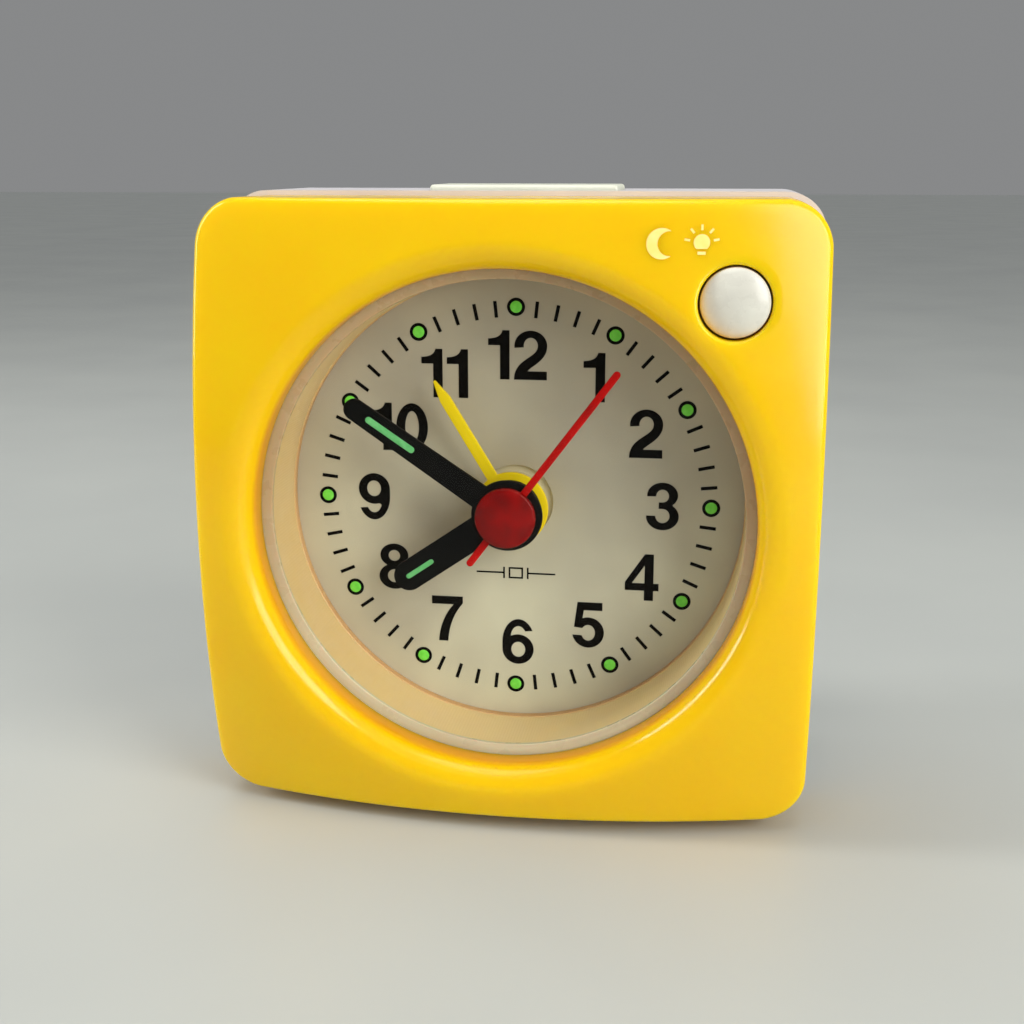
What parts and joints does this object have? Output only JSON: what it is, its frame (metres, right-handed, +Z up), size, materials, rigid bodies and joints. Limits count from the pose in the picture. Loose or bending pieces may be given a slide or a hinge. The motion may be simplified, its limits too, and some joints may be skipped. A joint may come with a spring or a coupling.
{
  "type": "alarm clock",
  "caption": "Small square alarm clock with a domed yellow front, round dial, four hands, a round front button, a top bar and rear setting knobs.",
  "frame": {"origin": "on the surface the clock stands on, under the middle of its width and depth", "axes": "+Z up, +Y towards the back of the clock, so the dial faces -Y; +X to the right as seen from the front"},
  "size_m": [0.0596, 0.0328, 0.0621],
  "materials": {
    "yellow_shell": "glossy moulded ABS",
    "rear_shell": "satin moulded ABS",
    "screw_steel": "plated",
    "clear_lens": "clear polystyrene",
    "frosted_ring": "frosted translucent",
    "dial_print": "pearl silver with print",
    "red_hand": "gloss",
    "black_hand": "satin",
    "yellow_hand": "gloss",
    "white_button": "gloss",
    "dark_plastic": "matte",
    "pale_bar": "satin",
    "spring_steel": "nickel plated",
    "white_knob": "satin",
    "movement_plastic": "satin",
    "wheel_plastic": "acetal",
    "rotor_magnet": "sintered magnet on a plastic pinion",
    "stator_iron": "soft iron sheet",
    "bobbin_plastic": "satin",
    "copper_wire": "enamelled copper winding",
    "board_green": "solder mask",
    "chip_black": "epoxy",
    "can_metal": "tinned can",
    "buzzer_brass": "brass disc with a ceramic layer",
    "lamp_clear": "clear epoxy",
    "contact_brass": "phosphor bronze",
    "cell_jacket": "plain jacket",
    "lead_jacket": "insulated wire"
  },
  "bodies": {
    "case": {"front_bezel": "yellow_shell", "rear_case": "rear_shell", "case_screws": "screw_steel", "crystal": "clear_lens", "dial_ring": "frosted_ring", "dial": "dial_print", "snooze_switch": "dark_plastic", "alarm_bar_spring": "spring_steel", "movement_front_plate": "movement_plastic", "movement_centre_plate": "movement_plastic", "movement_rear_cover": "movement_plastic", "movement_screws": "screw_steel", "stator": "stator_iron", "coil_bobbin": "bobbin_plastic", "coil_winding": "copper_wire", "circuit_board": "board_green", "chip_cover": "chip_black", "timing_crystal": "can_metal", "buzzer": "buzzer_brass", "lamp": "lamp_clear", "alarm_contact_spring": "contact_brass", "battery": "cell_jacket", "battery_contact_positive": "spring_steel", "battery_spring_negative": "spring_steel", "battery_leads": "lead_jacket"},
    "second_hand_set": {"second_hand": "red_hand", "second_wheel": "wheel_plastic"},
    "fifth_wheel": {"fifth_wheel": "wheel_plastic"},
    "third_wheel": {"third_wheel": "wheel_plastic"},
    "centre_wheel": {"centre_wheel": "wheel_plastic"},
    "rotor": {"rotor": "rotor_magnet"},
    "minute_hand_set": {"minute_hand": "black_hand", "cannon_pinion": "wheel_plastic"},
    "motion_wheel": {"motion_wheel": "wheel_plastic"},
    "hour_hand_set": {"hour_hand": "black_hand", "hour_wheel": "wheel_plastic"},
    "alarm_hand_set": {"alarm_hand": "yellow_hand", "alarm_wheel": "wheel_plastic"},
    "time_setting": {"time_set_knob": "white_knob", "time_set_shaft": "movement_plastic"},
    "alarm_setting": {"alarm_set_knob": "white_knob", "alarm_set_shaft": "movement_plastic"},
    "snooze_button": {"snooze_button": "white_button"},
    "alarm_bar": {"alarm_bar": "pale_bar"},
    "battery_door": {"battery_door": "rear_shell"}
  },
  "joints": [
    {"name": "second_hand_turn", "type": "hinge", "parent": "case", "child": "second_hand_set", "pos_m": [0, 0.0042, 0.03075], "axis": [0, 1, 0], "continuous": true},
    {"name": "fifth_wheel_turn", "type": "hinge", "parent": "case", "child": "fifth_wheel", "pos_m": [0.0054, 0.0052, 0.03718], "axis": [0, 1, 0], "continuous": true},
    {"name": "rotor_turn", "type": "hinge", "parent": "case", "child": "rotor", "pos_m": [0.00703, 0.0066, 0.04327], "axis": [0, 1, 0], "continuous": true},
    {"name": "third_wheel_turn", "type": "hinge", "parent": "case", "child": "third_wheel", "pos_m": [-0.00521, 0.0032, 0.03696], "axis": [0, 1, 0], "continuous": true},
    {"name": "centre_wheel_turn", "type": "hinge", "parent": "case", "child": "centre_wheel", "pos_m": [0, 0.0021, 0.03075], "axis": [0, 1, 0], "continuous": true},
    {"name": "minute_hand_turn", "type": "hinge", "parent": "case", "child": "minute_hand_set", "pos_m": [0, 0.0002, 0.03075], "axis": [0, 1, 0], "continuous": true},
    {"name": "motion_wheel_turn", "type": "hinge", "parent": "case", "child": "motion_wheel", "pos_m": [0.00561, 0.0002, 0.02767], "axis": [0, 1, 0], "continuous": true},
    {"name": "hour_hand_turn", "type": "hinge", "parent": "case", "child": "hour_hand_set", "pos_m": [0, -0.0008, 0.03075], "axis": [0, 1, 0], "continuous": true},
    {"name": "time_knob_turn", "type": "hinge", "parent": "case", "child": "time_setting", "pos_m": [0.012, 0.015, 0.028], "axis": [0, 1, 0], "continuous": true},
    {"name": "alarm_hand_turn", "type": "hinge", "parent": "case", "child": "alarm_hand_set", "pos_m": [0, -0.0018, 0.03075], "axis": [0, 1, 0], "continuous": true},
    {"name": "alarm_knob_turn", "type": "hinge", "parent": "case", "child": "alarm_setting", "pos_m": [-0.012, 0.015, 0.028], "axis": [0, 1, 0], "continuous": true},
    {"name": "snooze_press", "type": "slide", "parent": "case", "child": "snooze_button", "axis": [0, 1, 0], "range_m": [0, 0.0008], "stiffness_N_per_m": 1500},
    {"name": "alarm_bar_release", "type": "slide", "parent": "case", "child": "alarm_bar", "axis": [0, 0, 1], "range_m": [0, 0.0025], "deforming": ["alarm_bar_spring"]},
    {"name": "battery_door_tilt", "type": "hinge", "parent": "case", "child": "battery_door", "pos_m": [0, 0.015, 0.0036], "axis": [-1, 0, 0], "range_deg": [0, 80]}
  ],
  "couplings": [
    {"joint": "fifth_wheel_turn", "follows": "second_hand_turn", "ratio": -5},
    {"joint": "rotor_turn", "follows": "second_hand_turn", "ratio": 30},
    {"joint": "third_wheel_turn", "follows": "second_hand_turn", "ratio": -0.13333},
    {"joint": "centre_wheel_turn", "follows": "second_hand_turn", "ratio": 0.016667},
    {"joint": "motion_wheel_turn", "follows": "minute_hand_turn", "ratio": -0.33333},
    {"joint": "hour_hand_turn", "follows": "minute_hand_turn", "ratio": 0.083333},
    {"joint": "time_knob_turn", "follows": "minute_hand_turn", "ratio": 1},
    {"joint": "alarm_knob_turn", "follows": "alarm_hand_turn", "ratio": -2.5}
  ]
}
